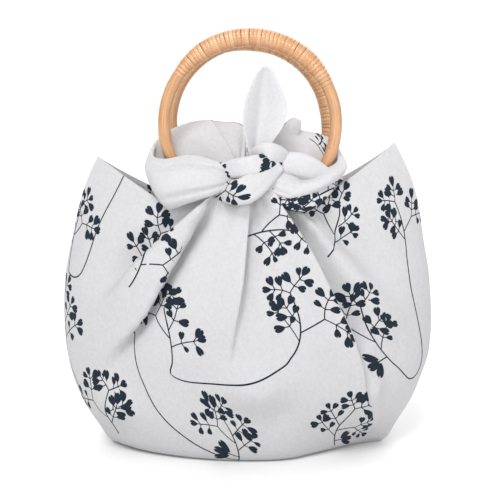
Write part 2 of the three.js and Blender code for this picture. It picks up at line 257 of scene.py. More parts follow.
def one_turn(outer):
    """A single turn of peel: a flat band bent into a hoop about Z, its points and faces."""
    middle = outer - TURN_THICKNESS / 2
    bpy.ops.mesh.primitive_torus_add(
        major_segments=PEEL_SIDES,
        minor_segments=PEEL_EDGE_SIDES,
        major_radius=middle,
        minor_radius=TURN_PITCH / 2,
    )
    hoop = bpy.context.object
    places = points_of(hoop)
    reach = np.hypot(places[:, 0], places[:, 1])
    flat = (middle + (reach - middle) * TURN_THICKNESS / TURN_PITCH) / reach
    places[:, :2] *= flat[:, None]
    faces = [list(face.vertices) for face in hoop.data.polygons]
    bpy.data.objects.remove(hoop)
    return places, np.array(faces)


def wound_grip(grip):
    centre, thickness, bend = ring_measures(grip.ring)
    low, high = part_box(grip.node)
    outer = (high.y - low.y) / 2
    hoop, hoop_faces = one_turn(outer)
    chance = random.Random(grip.seed)
    turns = round(math.radians(grip.end - grip.start) * bend / TURN_PITCH)
    places, faces, marks = [], [], []
    for i in range(turns):
        angle = math.radians(grip.start + (grip.end - grip.start) * (i + 0.5) / turns)
        from_end = min(i, turns - 1 - i)
        tucked = (outer - thickness - TURN_THICKNESS / 4) * max(0, 1 - from_end / TAPERED_TURNS)
        size = 1 - tucked / outer - chance.uniform(0, TURN_SLACK)
        tilt = TURN_TILT + chance.uniform(-TILT_SPREAD, TILT_SPREAD)
        along = hoop[:, 2] * chance.uniform(*TURN_WIDTHS) + tilt * hoop[:, 1]
        out = np.array([math.sin(angle), 0, math.cos(angle)])
        onward = np.array([math.cos(angle), 0, -math.sin(angle)])
        side = np.array([0, 1, 0])
        placed = np.outer(hoop[:, 0] * size + bend, out) + np.outer(hoop[:, 1] * size, side)
        faces.append(hoop_faces + i * len(hoop))
        places.append(placed + np.outer(along, onward) + np.array(centre))
        # Distance to the turn's edge, which the peel material darkens as painted groove shade
        edge = np.abs(hoop[:, 2]) / (TURN_PITCH / 2)
        marks.append(np.stack([np.full(len(hoop), chance.uniform(*TURN_SHADES)), edge, 0 * edge], axis=1))
    mesh = bpy.data.meshes.new(grip.name)
    mesh.from_pydata(np.concatenate(places).tolist(), [], np.concatenate(faces).tolist())
    piece = bpy.data.objects.new(grip.name, mesh)
    bpy.context.collection.objects.link(piece)
    mesh.shade_smooth()
    mesh.materials.append(WOUND_PEEL)
    store(piece, "turn", "FLOAT_VECTOR", np.concatenate(marks))
    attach(piece, "root")
    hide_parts(grip.node)


for grip in GRIPS:
    wound_grip(grip)


# The printed cotton: off-white plain weave with sprigs of notched leaflets in dark blue, as plain lists of
# stems and leaflets in millimetres. Each face of a mesh keeps the few that touch it, and the material draws
# their outlines, so the print stays sharp and bends, tucks and breaks with the cloth.
STEM_SLOTS = 4
STEM_STEPS = 10
STEM_LENGTH = 0.5
STEM_HALF_WIDTH = 0.6
STEM_LAP = 0.3
STEM_MARGIN = 1
LEAF_SLOTS = 6
LEAF_SIZE = 0.15
LEAF_SIZES = (0.7, 1.1)
LEAF_WIDTHS = (0.9, 1.2)
LEAF_STALK = 0.2
STALK_IN_LEAF = 0.35
STALK_HALF_WIDTH = 0.42
# A leaflet's outline in its own length: a long oval that narrows to the stalk, and a notch at the tip
LEAF_LENGTHWISE = (2.4, -1.4)
LEAF_WIDENS = (0.26, 0.13)
LEAF_NOTCH = 0.42
NOTCH_STARTS = 0.86
LEAF_MIDDLE = 0.58
LEAF_HALF_LENGTH = 0.42
LEAF_HALF_WIDTH = 0.34
LEAF_REACH = 0.6
# Twigs by their share of the stem and how often they fork, and their leaflets by step and turn in degrees
Twig = namedtuple("Twig", "share forks")
TWIGS = [Twig(0.36, 0), Twig(0.56, 1), Twig(0.78, 0), Twig(1.0, 1)]
TwigLeaf = namedtuple("TwigLeaf", "step turn")
TWIG_LEAVES = [TwigLeaf(4, -62), TwigLeaf(4, 0), TwigLeaf(4, 62), TwigLeaf(2, -66), TwigLeaf(2, 66)]
TWIG_STEPS = 4
TWIG_BEND = 28
TWIG_TURNS = (40, 62)
TWIG_LENGTH = 0.36
TWIG_SHORTENS = 0.16
TWIG_LENGTHS = (0.85, 1.2)
TWIG_HALF_WIDTH = 0.44
FORK_WIDENS = 0.08
FORK_TURNS = (-46, 46)
FORK_LENGTHS = (0.6, 0.9)
HEADING_SPREAD = 12
FAN_EVERY = 3
FAN_STEP = 2
FAN_SIZE = 1.5
FAN_ASIDE = 82
FAN_STALK = 0.4
FAN_STALK_HALF_WIDTH = 0.5
FAN_TURNS = (-38, 0, 38)
FAN_LOBE_WIDTH = 0.72
RUNNER_STEPS = 10
# Values for faces that no stem or leaflet touches, and limits past which a face carries no print
BEYOND_STEM = 9.0
BEYOND_LEAF = -9.0
FACE_LIMIT = 10
NEVER_NEAR = -1000
CLOTH_LIMIT = 1e5
INK = (0.011, 0.019, 0.031, 1)
WORN_INK = (0.019, 0.029, 0.043, 1)
COTTON = (0.638, 0.633, 0.647, 1)
DULL_COTTON = (0.568, 0.561, 0.573, 1)
YARN_PITCH = 0.55
YARN_SHADE = 0.12
SLUB_SHADE = 1.1
SHINES_THROUGH = 0.1
Sprig = namedtuple("Sprig", "u v heading size bend seed")
Motifs = namedtuple("Motifs", "stems leaves")


def bent_line(start, heading, length, bend, steps):
    """Points of a stem that sets out at a heading from straight up and turns evenly, both in degrees."""
    angles = np.radians(heading + bend * (np.arange(steps) + 0.5) / steps)
    moves = np.stack([np.sin(angles), np.cos(angles)], axis=1) * length / steps
    return np.concatenate([[start], start + np.cumsum(moves, axis=0)])


def draw_stem(motifs, line, half_width):
    for before, after in zip(line[:-1], line[1:]):
        motifs.stems.append((before, after, half_width))


def toward(heading):
    """A step of one millimetre at a heading from straight up, in degrees."""
    return np.array([math.sin(math.radians(heading)), math.cos(math.radians(heading))])


def draw_leaflet(motifs, at, heading, size, width):
    """A notched leaflet on a short stalk."""
    away = toward(heading)
    root = at + away * LEAF_STALK * size
    draw_stem(motifs, [at, root + away * STALK_IN_LEAF * size], STALK_HALF_WIDTH)
    motifs.leaves.append((root, away, size, width))


def draw_fan(motifs, at, heading, size):
    """A broad leaf of three lobes on a stalk."""
    root = at + toward(heading) * FAN_STALK * size
    draw_stem(motifs, [at, root + toward(heading) * STALK_IN_LEAF * size], FAN_STALK_HALF_WIDTH)
    for turn in FAN_TURNS:
        motifs.leaves.append((root, toward(heading + turn), size, FAN_LOBE_WIDTH))


def draw_branch(motifs, at, heading, length, forks, leaf, chance):
    """A twig that forks so many times and ends in leaflets."""
    curve = chance.uniform(-TWIG_BEND, TWIG_BEND)
    line = bent_line(at, heading, length, curve, TWIG_STEPS)
    draw_stem(motifs, line, TWIG_HALF_WIDTH + FORK_WIDENS * forks)
    if forks:
        for turn in FORK_TURNS:
            out = heading + curve + turn + chance.uniform(-HEADING_SPREAD, HEADING_SPREAD)
            onward = length * chance.uniform(*FORK_LENGTHS)
            draw_branch(motifs, line[-1], out, onward, forks - 1, leaf, chance)
        return
    for spot in TWIG_LEAVES:
        bent = curve * spot.step / TWIG_STEPS
        out = heading + bent + spot.turn + chance.uniform(-HEADING_SPREAD, HEADING_SPREAD)
        size = leaf * chance.uniform(*LEAF_SIZES)
        draw_leaflet(motifs, line[spot.step], out, size, chance.uniform(*LEAF_WIDTHS))


def draw_sprig(motifs, place):
    """An arched stem with forking twigs on both sides and at its end, and at times a broad leaf low down."""
    chance = random.Random(place.seed)
    leaf = LEAF_SIZE * place.size
    start = np.array([place.u, place.v])
    main = bent_line(start, place.heading, STEM_LENGTH * place.size, place.bend, STEM_STEPS)
    draw_stem(motifs, main, STEM_HALF_WIDTH)
    for i, twig in enumerate(TWIGS):
        side = 1 if (i + place.seed) % 2 else -1
        aside = side * chance.uniform(*TWIG_TURNS) if twig.share < 1 else 0
        length = place.size * (TWIG_LENGTH - TWIG_SHORTENS * twig.share) * chance.uniform(*TWIG_LENGTHS)
        at = main[round(twig.share * STEM_STEPS)]
        heading = place.heading + place.bend * twig.share + aside
        draw_branch(motifs, at, heading, length, twig.forks, leaf, chance)
    if place.seed % FAN_EVERY == 1:
        aside = -FAN_ASIDE if place.seed % 2 else FAN_ASIDE
        draw_fan(motifs, main[FAN_STEP], place.heading + aside, FAN_SIZE * leaf)


def motifs_of(sprigs, runners):
    """All stems and leaflets of a list of sprigs and of long stems between them."""
    motifs = Motifs([], [])
    for place in sprigs:
        draw_sprig(motifs, place)
    for runner in runners:
        draw_stem(motifs, curve_through(runner, RUNNER_STEPS * len(runner)), STEM_HALF_WIDTH)
    return motifs


def curve_through(points, count):
    """Evenly counted places on a smooth curve through points."""
    points = np.asarray(points, float)
    if points.ndim == 1:
        points = points[:, None]
    at = np.linspace(0, len(points) - 1, count)
    i = np.clip(at.astype(int), 0, len(points) - 2)
    t = (at - i)[:, None]
    padded = np.concatenate([[2 * points[0] - points[1]], points, [2 * points[-1] - points[-2]]])
    before, here, after, beyond = padded[i], padded[i + 1], padded[i + 2], padded[i + 3]
    slope_here = (after - before) / 2
    slope_after = (beyond - here) / 2
    bent = here * (2 * t ** 3 - 3 * t ** 2 + 1) + slope_here * (t ** 3 - 2 * t ** 2 + t)
    return bent + after * (3 * t ** 2 - 2 * t ** 3) + slope_after * (t ** 3 - t ** 2)


def print_on(piece, prints):
    """Lays prints on a mesh of quads.

    Each print is the flat places of all vertices, shifts of the faces' corners, and motifs.
    """
    mesh = piece.data
    corner_vertex = np.zeros(len(mesh.loops), int)
    mesh.loops.foreach_get("vertex_index", corner_vertex)
    counts = np.zeros(len(mesh.polygons), int)
    mesh.polygons.foreach_get("loop_total", counts)
    starts = np.cumsum(counts) - counts
    quads = starts[counts == 4][:, None] + np.arange(4)
    stems = np.full((STEM_SLOTS, len(corner_vertex), 2), BEYOND_STEM)
    leaves = np.full((LEAF_SLOTS, len(corner_vertex), 2), BEYOND_LEAF)
    stems_used = np.zeros(len(quads), int)
    leaves_used = np.zeros(len(quads), int)
    weave = np.zeros((len(corner_vertex), 2))
    for flat, shift, motifs in prints:
        places = flat[corner_vertex[quads]] + shift[counts == 4]
        here = (np.abs(places) < CLOTH_LIMIT).all(axis=(1, 2))
        weave[quads[here]] = places[here]
        middle = places.mean(axis=1)
        size = np.linalg.norm(places.max(axis=1) - places.min(axis=1), axis=1) / 2
        size[~(size < FACE_LIMIT)] = NEVER_NEAR

        def fill(slots, used, centre, reach, local, touches):
            """Writes a motif's own coordinates to the next free slot of the faces that it touches."""
            near = np.flatnonzero(np.hypot(*(middle - centre).T) < reach + size)
            near = near[touches(middle[near] - centre, size[near])]
            for slot in range(len(slots)):
                chosen = near[used[near] == slot]
                slots[slot, quads[chosen]] = local(places[chosen])
            used[near] += 1

        for before, after, half_width in motifs.stems:
            centre = (before + after) / 2
            half_length = np.hypot(*(after - before)) / 2
            along = (after - before) / (2 * half_length)
            across = np.array([along[1], -along[0]])
            scale = np.stack([across / half_width, along / (half_length + STEM_LAP)], axis=1)

            def crossed(at, margin):
                beyond = np.maximum(0, np.abs(at @ along) - half_length - STEM_LAP)
                return np.hypot(at @ across, beyond) < half_width + margin

            reach = half_length + STEM_MARGIN
            fill(stems, stems_used, centre, reach, lambda at: (at - centre) @ scale, crossed)
        for root, away, length, width in motifs.leaves:
            across = np.array([away[1], -away[0]])
            scale = np.stack([away / length, across / (length * width)], axis=1)
            centre = root + away * LEAF_MIDDLE * length

            def covered(at, margin):
                high = (at @ away) / (LEAF_HALF_LENGTH * length + margin)
                wide = (at @ across) / (LEAF_HALF_WIDTH * length * width + margin)
                return np.hypot(high, wide) < 1

            reach = LEAF_REACH * length
            fill(leaves, leaves_used, centre, reach, lambda at: (at - root) @ scale, covered)
    store(piece, "weave", "FLOAT2", weave, "CORNER")
    for slot in range(STEM_SLOTS):
        store(piece, f"stem_{slot}", "FLOAT2", stems[slot], "CORNER")
    for slot in range(LEAF_SLOTS):
        store(piece, f"leaf_{slot}", "FLOAT2", leaves[slot], "CORNER")


def cotton_material():
    """Off-white plain-woven cotton with the stems and leaflets in ink."""
    look = Finish("printed_cotton")
    calc = look.calc
    marks = []
    for slot in range(STEM_SLOTS):
        at = look.parts(look.stored(f"stem_{slot}"))
        across = calc("LESS_THAN", calc("ABSOLUTE", at["X"]), 1.0)
        along = calc("LESS_THAN", calc("ABSOLUTE", at["Y"]), 1.0)
        marks.append(calc("MULTIPLY", across, along))
    for slot in range(LEAF_SLOTS):
        at = look.parts(look.stored(f"leaf_{slot}"))
        x, y = at["X"], calc("ABSOLUTE", at["Y"])
        along = calc("MULTIPLY_ADD", x, *LEAF_LENGTHWISE)
        aside = calc("DIVIDE", y, calc("MULTIPLY_ADD", x, *LEAF_WIDENS))
        round_it = calc("ADD", calc("MULTIPLY", along, along), calc("MULTIPLY", aside, aside))
        notch = calc("LESS_THAN", y, calc("MULTIPLY_ADD", x, LEAF_NOTCH, -NOTCH_STARTS * LEAF_NOTCH))
        marks.append(calc("MULTIPLY", calc("LESS_THAN", round_it, 1.0), calc("SUBTRACT", 1.0, notch)))
    ink = marks[0]
    for mark in marks[1:]:
        ink = calc("MAXIMUM", ink, mark)
    yarns = look.parts(look.stored("weave"))
    warp = calc("SINE", calc("MULTIPLY", yarns["X"], math.pi / YARN_PITCH))
    weft = calc("SINE", calc("MULTIPLY", yarns["Y"], math.pi / YARN_PITCH))
    crossing = calc("MULTIPLY", warp, weft)
    slubs = look.noise(look.place(), scale=420, detail=4)
    rumple = look.noise(look.place(), scale=34, detail=3, distortion=0.6)
    shade = calc("ADD", calc("MULTIPLY", crossing, YARN_SHADE), calc("MULTIPLY", slubs, SLUB_SHADE))
    cotton = look.tone(shade, dark_at=0.25, dark=DULL_COTTON, pale_at=0.85, pale=COTTON)
    printed = look.tone(shade, dark_at=0.2, dark=INK, pale_at=1.0, pale=WORN_INK)
    colour = look.mix(ink, cotton, printed)
    creased = look.bump(rumple, strength=0.35, distance=0.004)
    woven = look.bump(calc("ADD", crossing, slubs), strength=0.3, distance=0.0002)
    look.feed(woven, {"Normal": creased.outputs["Normal"]})
    look.feed(look.surface, {
        "Base Color": colour,
        "Normal": woven.outputs["Normal"],
        "Roughness": 0.9,
        "Specular IOR Level": 0.15,
        "Sheen Weight": 0.04,
        "Sheen Roughness": 0.5,
    })
    through = look.node("ShaderNodeBsdfTranslucent", {"Color": colour})
    layers = {0: SHINES_THROUGH, 1: look.surface.outputs[0], 2: through.outputs[0]}
    cloth = look.node("ShaderNodeMixShader", layers)
    look.feed(look.tree.nodes["Material Output"], {"Surface": cloth.outputs[0]})
    return look.material


PRINTED_COTTON = cotton_material()


# The bag's cloth: the middle of the square, which makes the base, both faces and the pointed sides.
# It is gathered to a neck under each knot, so folds run down from there and fade towards the base.
CLOTH_THICKNESS = 1.8
EDGE_HEIGHT = 197
NECK_RISE = 17
NECK_HALF_WIDTH = 18
NECK_FOOT = 60
NECK_SHARE = 0.15
EAR_HALF_SPAN = 124
GATHERED_SHARE = 0.7
GATHER_STARTS_AT = 0.15
GATHER_CURVE = 0.85
AROUND = 480
FRONT_CROWDING = 0.24
WALL_ROWS = 180
BASE_RINGS = 8
LINING_STEP = 4
LINING_CLEARS = 16
HEM_DEPTH = 2.2
HEM_SPAN = (0.93, 0.98)
Ear = namedtuple("Ear", "height starts_at curve")
LEFT_EAR = Ear(235, 0.44, 0.85)
RIGHT_EAR = Ear(246, 0.3, 0.88)
LEFT_EAR_BEHIND = Ear(235, 0.46, 0.98)
RIGHT_EAR_BEHIND = Ear(246, 0.33, 1.0)
Section = namedtuple("Section", "z width depth point")
SECTIONS = [
    Section(0, 112, 46, 1.9),
    Section(4, 118, 52, 1.6),
    Section(14, 125, 58, 1.3),
    Section(36, 139, 67, 1.05),
    Section(60, 147, 73, 1.05),
    Section(100, 151, 76, 1.15),
    Section(142, 149, 72, 1.3),
    Section(172, 143, 67, 1.5),
    Section(200, 136, 62, 1.75),
    Section(220, 129, 58, 2.0),
    Section(242, 118, 48, 2.2),
    Section(250, 113, 44, 2.3),
]
# The foot of the front stands forward at the left and in the middle, and back at the right
FOOT_FORWARD = 6
FOOT_FORWARD_ENDS = (15, 60)
FOOT_BACK = 0.25
FOOT_BACK_FROM = 35
FOOT_HEIGHT = (5, 60)
FOOT_DEPTH = 25
# How far the sides are drawn in, seen from the front: the bag leans and stands a little unevenly
SIDE_SPAN = 150
Draw = namedtuple("Draw", "z left right")
DRAWN_IN = [
    Draw(0, 1, 8),
    Draw(20, 3, 9),
    Draw(40, 3.5, 8.5),
    Draw(55, 2, 7.5),
    Draw(77, 0.5, 3.8),
    Draw(118, 0, 4),
    Draw(159, 0, 4.4),
    Draw(184, 0, 3),
    Draw(204, 0, 1.4),
    Draw(250, 0, 0),
]
# Folds are narrow at the knot, widen and soften on their way down and fade towards the bag's sides
FOLD_NARROW = 0.45
FOLD_WIDENS = 0.75
FOLD_SOFTENS = 1.0
FOLD_ENDS = 1.1
LAP_REACH = 0.6
SIDE_FADE = 0.25
# A fold runs from (x, z) to (end_x, end_z). It is lifted by left and right on its two sides, over reach_left
# and reach_right. Tuck is how far its left side laps over, or below zero its right side, hidden how much
# cloth is out of sight in it, and fades_from the share of its length from which it dies away.
Fold = namedtuple(
    "Fold",
    "x z end_x end_z bow left right reach_left reach_right step tuck hidden fades_from",
)
FRONT_FOLDS = [
    Fold(-29.5, 208, -112, 74, 0, 11, -13, 25, 10, 0.9, 12, 34, 0.62),
    Fold(-1, 202, -15, 74, 0, 8, -4, 19, 13, 1.0, 6, 14, 0.4),
    Fold(22, 198, 98, 34, 6, 11, -14, 24, 17, 1.0, 9, 20, 0.55),
    Fold(33, 200, 76, 146, 3, 6, -4, 9, 9, 1.4, 3, 0, 0.5),
    Fold(-54, 187, -116, 125, 0, -15, 8, 20, 18, 1.3, -5, 0, 0.45),
    Fold(58, 190, 122, 128, 0, -9, -9, 13, 15, 6, 0, 0, 0.5),
    Fold(68, 166, 118, 96, 0, 7, 7, 13, 14, 6, 0, 0, 0.6),
]
BACK_FOLDS = [
    Fold(-16, 204, -84, 74, 3, 10, -7, 20, 15, 1.6, 5, 26, 0.6),
    Fold(3, 200, 12, 88, 0, -5, 7, 17, 15, 2, -3, 10, 0.55),
    Fold(20, 198, 92, 46, 5, 8, -7, 22, 16, 2.4, 3, 12, 0.5),
    Fold(-48, 188, -112, 104, -6, -6, -6, 15, 14, 6, 0, 0, 0.45),
    Fold(52, 188, 114, 98, 5, -5, -5, 14, 16, 6, 0, 0, 0.45),
]
# Small pleats that fan out from the knot: how many to a full turn, their height and where they start
Pleat = namedtuple("Pleat", "count height phase")
PLEATS = [Pleat(11, 1.0, 0.4), Pleat(19, 0.5, 1.9)]
PLEAT_REACH = 62
PLEAT_CENTRE = 6
# Places where the cloth puffs out: how far each way and how high
Puff = namedtuple("Puff", "x z reach_x reach_z height")
FRONT_PUFFS = [
    Puff(4, 64, 26, 18, 14),
    Puff(-108, 44, 18, 14, 9),
    Puff(99, 30, 16, 14, 6),
    Puff(14, 166, 9, 16, 4),
    Puff(89, 82, 9, 18, 10),
    Puff(98, 56, 9, 17, 11),
]
BACK_PUFFS = [Puff(4, 60, 26, 18, 6), Puff(-96, 46, 20, 16, 5), Puff(100, 50, 20, 16, 5)]


def smooth_step(value, start, end):
    share = np.clip((value - start) / (end - start), 0, 1)
    return share * share * (3 - 2 * share)


def column_at(rows, column, at):
    """Smooth value of one column of a table whose first column rises."""
    keys = np.array([row[0] for row in rows], float)
    values = np.array([getattr(row, column) for row in rows], float)
    slopes = np.empty(len(keys))
    slopes[1:-1] = (values[2:] - values[:-2]) / (keys[2:] - keys[:-2])
    slopes[0] = (values[1] - values[0]) / (keys[1] - keys[0])
    slopes[-1] = (values[-1] - values[-2]) / (keys[-1] - keys[-2])
    i = np.clip(np.searchsorted(keys, at, side="right") - 1, 0, len(keys) - 2)
    span = keys[i + 1] - keys[i]
    t = np.clip((at - keys[i]) / span, 0, 1)
    start = values[i] * (2 * t ** 3 - 3 * t ** 2 + 1) + slopes[i] * span * (t ** 3 - 2 * t ** 2 + t)
    return start + values[i + 1] * (3 * t ** 2 - 2 * t ** 3) + slopes[i + 1] * span * (t ** 3 - t ** 2)


def edge_height(x, left_ear, right_ear):
    """Height of the cloth's edge across one face: a neck at the knot and a pointed ear at each side."""
    height = EDGE_HEIGHT + NECK_RISE * (1 - smooth_step(np.abs(x), NECK_HALF_WIDTH, NECK_FOOT))
    for ear, reach in ((left_ear, -x / EAR_HALF_SPAN), (right_ear, x / EAR_HALF_SPAN)):
        rise = np.maximum(0, (reach - ear.starts_at) / (1 - ear.starts_at))
        height = height + (ear.height - EDGE_HEIGHT) * rise ** ear.curve
    return height


def edge_side(side):
    """Where a column meets the edge, from -1 to 1: the middle columns are gathered into the neck."""
    reach = np.abs(side)
    in_neck = np.minimum(1, reach / GATHERED_SHARE)
    to_ear = np.maximum(0, (reach - GATHERED_SHARE) / (1 - GATHERED_SHARE))
    return np.sign(side) * (NECK_SHARE * in_neck + (1 - NECK_SHARE) * to_ear)


FoldAt = namedtuple("FoldAt", "share across strength to_right")


def fold_lines(fold, x, z):
    """Share along a fold, distance across it, left below zero, its strength there and its right side."""
    dx = fold.end_x - fold.x
    dz = fold.end_z - fold.z
    length = math.hypot(dx, dz)
    along = ((x - fold.x) * dx + (z - fold.z) * dz) / length ** 2
    share = np.clip(along, 0, 1)
    across = ((z - fold.z) * dx - (x - fold.x) * dz) / length - fold.bow * 4 * share * (1 - share)
    strength = 1 - smooth_step(along, fold.fades_from, FOLD_ENDS)
    return FoldAt(share, across, strength, (-dz / length, dx / length))


SLOPE_STEP = 2
Face = namedtuple("Face", "points out plain lift lap")


def face_of_bag(side, share, folds, puffs, left_ear, right_ear):
    """One face of the bag, seen from that face.

    Its points, the outward directions, the points without folds, and how far they are lifted and lapped.
    """
    at_edge = edge_side(side)
    z = edge_height(at_edge * EAR_HALF_SPAN, left_ear, right_ear) * share
    width = column_at(SECTIONS, "width", z)
    depth = column_at(SECTIONS, "depth", z)
    gathered = np.maximum(0, (share - GATHER_STARTS_AT) / (1 - GATHER_STARTS_AT)) ** GATHER_CURVE
    x = width * (side + (at_edge - side) * gathered)
    level = np.maximum(0, 1 - (x / width) ** 2)
    y = -depth * level ** (column_at(SECTIONS, "point", z) / 2)
    growth = column_at(SECTIONS, "depth", z + SLOPE_STEP) - column_at(SECTIONS, "depth", z - SLOPE_STEP)
    out = np.stack([depth * x / width, -width * np.sqrt(level), 0 * x], axis=-1)
    out /= np.linalg.norm(out, axis=-1, keepdims=True)
    out[..., 2] = -growth / (2 * SLOPE_STEP)
    out /= np.linalg.norm(out, axis=-1, keepdims=True)
    lift = np.zeros_like(x)
    shift = np.zeros(x.shape + (3,))
    for fold in folds:
        at = fold_lines(fold, x, z)
        to_x, to_z = at.to_right
        spread = FOLD_NARROW + FOLD_WIDENS * at.share
        right_side = 0.5 * (1 + np.tanh(at.across / (fold.step * (1 + FOLD_SOFTENS * at.share ** 2))))
        left = fold.left * np.exp(-(at.across / (fold.reach_left * spread)) ** 2)
        right = fold.right * np.exp(-(at.across / (fold.reach_right * spread)) ** 2)
        lift += at.strength * (left * (1 - right_side) + right * right_side)
        over, reach = (1 - right_side, fold.reach_left) if fold.tuck > 0 else (right_side, fold.reach_right)
        near = np.exp(-(at.across / (LAP_REACH * reach * spread)) ** 2)
        lap = fold.tuck * spread * at.strength ** 2 * over * near
        shift += np.stack([lap * to_x, 0 * lap, lap * to_z], axis=-1)
    for puff in puffs:
        aside = (x - puff.x) / puff.reach_x
        lift += puff.height * np.exp(-aside ** 2 - ((z - puff.z) / puff.reach_z) ** 2)
    away = np.hypot(x, z - EDGE_HEIGHT - NECK_RISE)
    turn = np.arctan2(x, EDGE_HEIGHT + NECK_RISE + PLEAT_CENTRE - z)
    for pleat in PLEATS:
        lift += pleat.height * np.sin(pleat.count * turn + pleat.phase) * np.exp(-(away / PLEAT_REACH) ** 2)
    plain = np.stack([x, y, z], axis=-1)
    lift = lift * level ** SIDE_FADE
    return Face(plain + out * lift[..., None] + shift, out, plain, lift, shift[..., ::2])


ROUNDING = 1e-9
half_turn = np.array([-1, -1, 1])
turns = 2 * np.pi * np.arange(AROUND) / AROUND
angles = turns - FRONT_CROWDING * np.sin(2 * turns)
shares = np.linspace(0, 1, WALL_ROWS + 1)[:, None]
sides = np.sin(angles)[None, :]
in_front = face_of_bag(sides, shares, FRONT_FOLDS, FRONT_PUFFS, LEFT_EAR, RIGHT_EAR)
behind = face_of_bag(-sides, shares, BACK_FOLDS, BACK_PUFFS, RIGHT_EAR_BEHIND, LEFT_EAR_BEHIND)
at_front = (np.cos(angles) > -ROUNDING)[None, :]
points_at_front = at_front[..., None]
wall = np.where(points_at_front, in_front.points, behind.points * half_turn)
wall_out = np.where(points_at_front, in_front.out, behind.out * half_turn)
plain = np.where(points_at_front, in_front.plain, behind.plain * half_turn)
lifts = np.where(at_front, in_front.lift, behind.lift)
laps = np.where(points_at_front, in_front.lap, behind.lap)
to_side = np.clip(wall[..., 0] / SIDE_SPAN, -1, 1)
drawn_in = column_at(DRAWN_IN, "left", wall[..., 2]) * np.minimum(0, to_side) ** 2
drawn_in -= column_at(DRAWN_IN, "right", wall[..., 2]) * np.maximum(0, to_side) ** 2
wall[..., 0] += drawn_in
foot = FOOT_BACK * np.maximum(0, wall[..., 0] - FOOT_BACK_FROM)
foot = foot - FOOT_FORWARD * (1 - smooth_step(wall[..., 0], *FOOT_FORWARD_ENDS))
foot = foot * (1 - smooth_step(wall[..., 2], *FOOT_HEIGHT)) * np.clip(-wall[..., 1] / FOOT_DEPTH, 0, 1)
wall[..., 1] += foot
base_shares = np.arange(1, BASE_RINGS + 1) / (BASE_RINGS + 1)
base = wall[0][None] * base_shares[:, None, None]
outside = np.concatenate([base, wall])
# The lining keeps behind the deepest fold near it and meets the cloth at the edge
deepest = lifts
for aside in range(1, LINING_CLEARS + 1):
    deepest = np.minimum(deepest, np.minimum(np.roll(lifts, aside, axis=1), np.roll(lifts, -aside, axis=1)))
lining = plain + wall_out * (deepest - CLOTH_THICKNESS)[..., None]
lining[..., 0] += drawn_in
lining[..., 1] += foot
at_rim = smooth_step(shares, *HEM_SPAN)[..., None]
lining = lining * (1 - at_rim) + (wall - wall_out * CLOTH_THICKNESS) * at_rim
lining = lining[::LINING_STEP, ::LINING_STEP]
lining[-2] -= wall_out[-1 - LINING_STEP, ::LINING_STEP] * HEM_DEPTH
lining[..., 2] = np.maximum(lining[..., 2], CLOTH_THICKNESS)
lining_base = (base + [0, 0, CLOTH_THICKNESS])[::LINING_STEP, ::LINING_STEP]
lining = np.concatenate([lining_base, lining])


def grid_faces(rows, columns, first):
    """Faces of a grid of points that closes on itself from column to column."""
    row, column = np.meshgrid(np.arange(rows - 1), np.arange(columns), indexing="ij")
    here = row * columns + column
    beside = row * columns + (column + 1) % columns
    faces = np.stack([here, beside, beside + columns, here + columns], axis=-1)
    return (first + faces.reshape(-1, 4)).tolist()


def cloth_piece(name, places, faces):
    """A new piece of cloth from points in millimetres."""
    mesh = bpy.data.meshes.new(name)
    mesh.from_pydata((np.asarray(places) * MM).tolist(), [], faces)
    piece = bpy.data.objects.new(name, mesh)
    bpy.context.collection.objects.link(piece)
    mesh.shade_smooth()
    mesh.materials.append(PRINTED_COTTON)
    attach(piece, "root")
    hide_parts("cloth")
    return piece


rows_out, rows_in = len(outside), len(lining)
columns_in = AROUND // LINING_STEP
first_in = rows_out * AROUND
pole_out = first_in + rows_in * columns_in
bag_faces = grid_faces(rows_out, AROUND, 0)
bag_faces += [face[::-1] for face in grid_faces(rows_in, columns_in, first_in)]
for j in range(AROUND):
    bag_faces.append([pole_out, (j + 1) % AROUND, j])
for j in range(columns_in):
    after = (j + 1) % columns_in
    bag_faces.append([pole_out + 1, first_in + j, first_in + after])
    rim = [(rows_out - 1) * AROUND + (j * LINING_STEP + k) % AROUND for k in range(LINING_STEP + 1)]
    last = first_in + (rows_in - 1) * columns_in
    bag_faces.append(rim + [last + after, last + j])
poles = np.array([[0, 0, 0], [0, 0, CLOTH_THICKNESS]])
bag_points = np.concatenate([outside.reshape(-1, 3), lining.reshape(-1, 3), poles])
bag = cloth_piece("bag_cloth", bag_points, bag_faces)

# Flat places for the print: across each face from its middle, and up it from the base
FRONT_SPRIGS = [
    Sprig(-172, 84, 14, 66, -26, 1),
    Sprig(-166, 162, 2, 62, 20, 2),
    Sprig(-112, 22, -24, 64, 34, 3),
    Sprig(-90, 146, 42, 66, -34, 6),
    Sprig(-34, 90, 30, 64, -44, 5),
    Sprig(-8, 2, 16, 72, -22, 7),
    Sprig(70, 96, 46, 70, -52, 8),
    Sprig(98, 10, 8, 64, 30, 10),
    Sprig(128, 170, 34, 60, -26, 9),
    Sprig(166, 84, -28, 68, 22, 13),
    Sprig(206, 166, 2, 64, -24, 14),
    Sprig(40, 184, 64, 58, 24, 17),
]
FRONT_RUNNERS = [
    [(-8, 2), (-44, 22), (-70, 48), (-76, 76), (-72, 98), (-66, 116)],
    [(-172, 84), (-152, 54), (-160, 24), (-150, -8)],
    [(-34, 90), (-40, 80), (-20, 75), (30, 78), (60, 88), (70, 96)],
    [(206, 166), (208, 120), (196, 78), (180, 68), (166, 84)],
    [(-166, 162), (-164, 150), (-146, 152), (-130, 190), (-114, 218), (-104, 240)],
]
